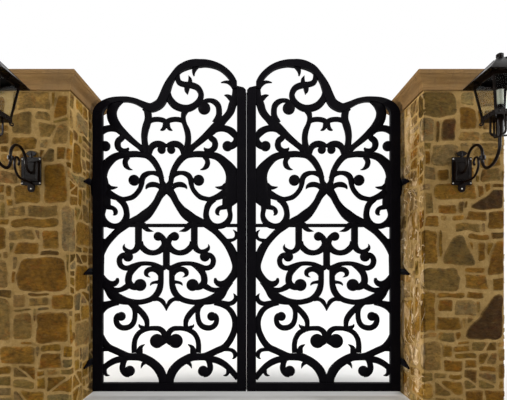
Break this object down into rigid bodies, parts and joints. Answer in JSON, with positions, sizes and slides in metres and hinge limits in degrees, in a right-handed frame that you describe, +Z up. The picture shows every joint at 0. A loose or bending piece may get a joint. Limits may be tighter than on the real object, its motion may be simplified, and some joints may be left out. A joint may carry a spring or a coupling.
{
  "type": "driveway gate",
  "caption": "Double wrought iron scrollwork driveway gate hung between square stone piers with moulded caps and bracket lanterns.",
  "frame": {"origin": "centre of the underside of the left pier, on the ground", "axes": "+X to the right pier along the gateway, +Y away from the viewer into the drive, +Z up"},
  "size_m": [4.73, 1.52, 3.3476],
  "materials": {
    "rubble_stone": "rough rubble in pale mortar",
    "cap_stone": "moulded brown sandstone",
    "black_iron": "satin black paint on forged iron",
    "lantern_glass": "clear panes",
    "lantern_candle": "ivory candle sleeve"
  },
  "bodies": {
    "piers": {"left_pier_shaft": "rubble_stone", "left_pier_cap": "cap_stone", "left_pintles": "black_iron", "left_lantern_backplate": "black_iron", "left_lantern_arm": "black_iron", "left_lantern_scroll": "black_iron", "left_lantern_cradle": "black_iron", "left_lantern_cage": "black_iron", "left_lantern_glass": "lantern_glass", "left_lantern_roof": "black_iron", "left_lantern_finial": "black_iron", "left_lantern_candle": "lantern_candle", "right_pier_shaft": "rubble_stone", "right_pier_cap": "cap_stone", "right_pintles": "black_iron", "right_lantern_backplate": "black_iron", "right_lantern_arm": "black_iron", "right_lantern_scroll": "black_iron", "right_lantern_cradle": "black_iron", "right_lantern_cage": "black_iron", "right_lantern_glass": "lantern_glass", "right_lantern_roof": "black_iron", "right_lantern_finial": "black_iron", "right_lantern_candle": "lantern_candle"},
    "left_leaf": {"left_hinge_stile": "black_iron", "left_meeting_stile": "black_iron", "left_bottom_rail": "black_iron", "left_mid_rail": "black_iron", "left_top_rail": "black_iron", "left_upper_scrolls": "black_iron", "left_lower_scrolls": "black_iron", "left_hinge_eyes": "black_iron"},
    "right_leaf": {"right_hinge_stile": "black_iron", "right_meeting_stile": "black_iron", "right_bottom_rail": "black_iron", "right_mid_rail": "black_iron", "right_top_rail": "black_iron", "right_upper_scrolls": "black_iron", "right_lower_scrolls": "black_iron", "right_hinge_eyes": "black_iron"}
  },
  "joints": [
    {"name": "left_leaf_swing", "type": "hinge", "parent": "piers", "child": "left_leaf", "pos_m": [0.4485, 0.146, 0.327], "axis": [0, 0, 1], "range_deg": [0, 90]},
    {"name": "right_leaf_swing", "type": "hinge", "parent": "piers", "child": "right_leaf", "pos_m": [3.4165, 0.146, 0.327], "axis": [0, 0, -1], "range_deg": [0, 90]}
  ]
}
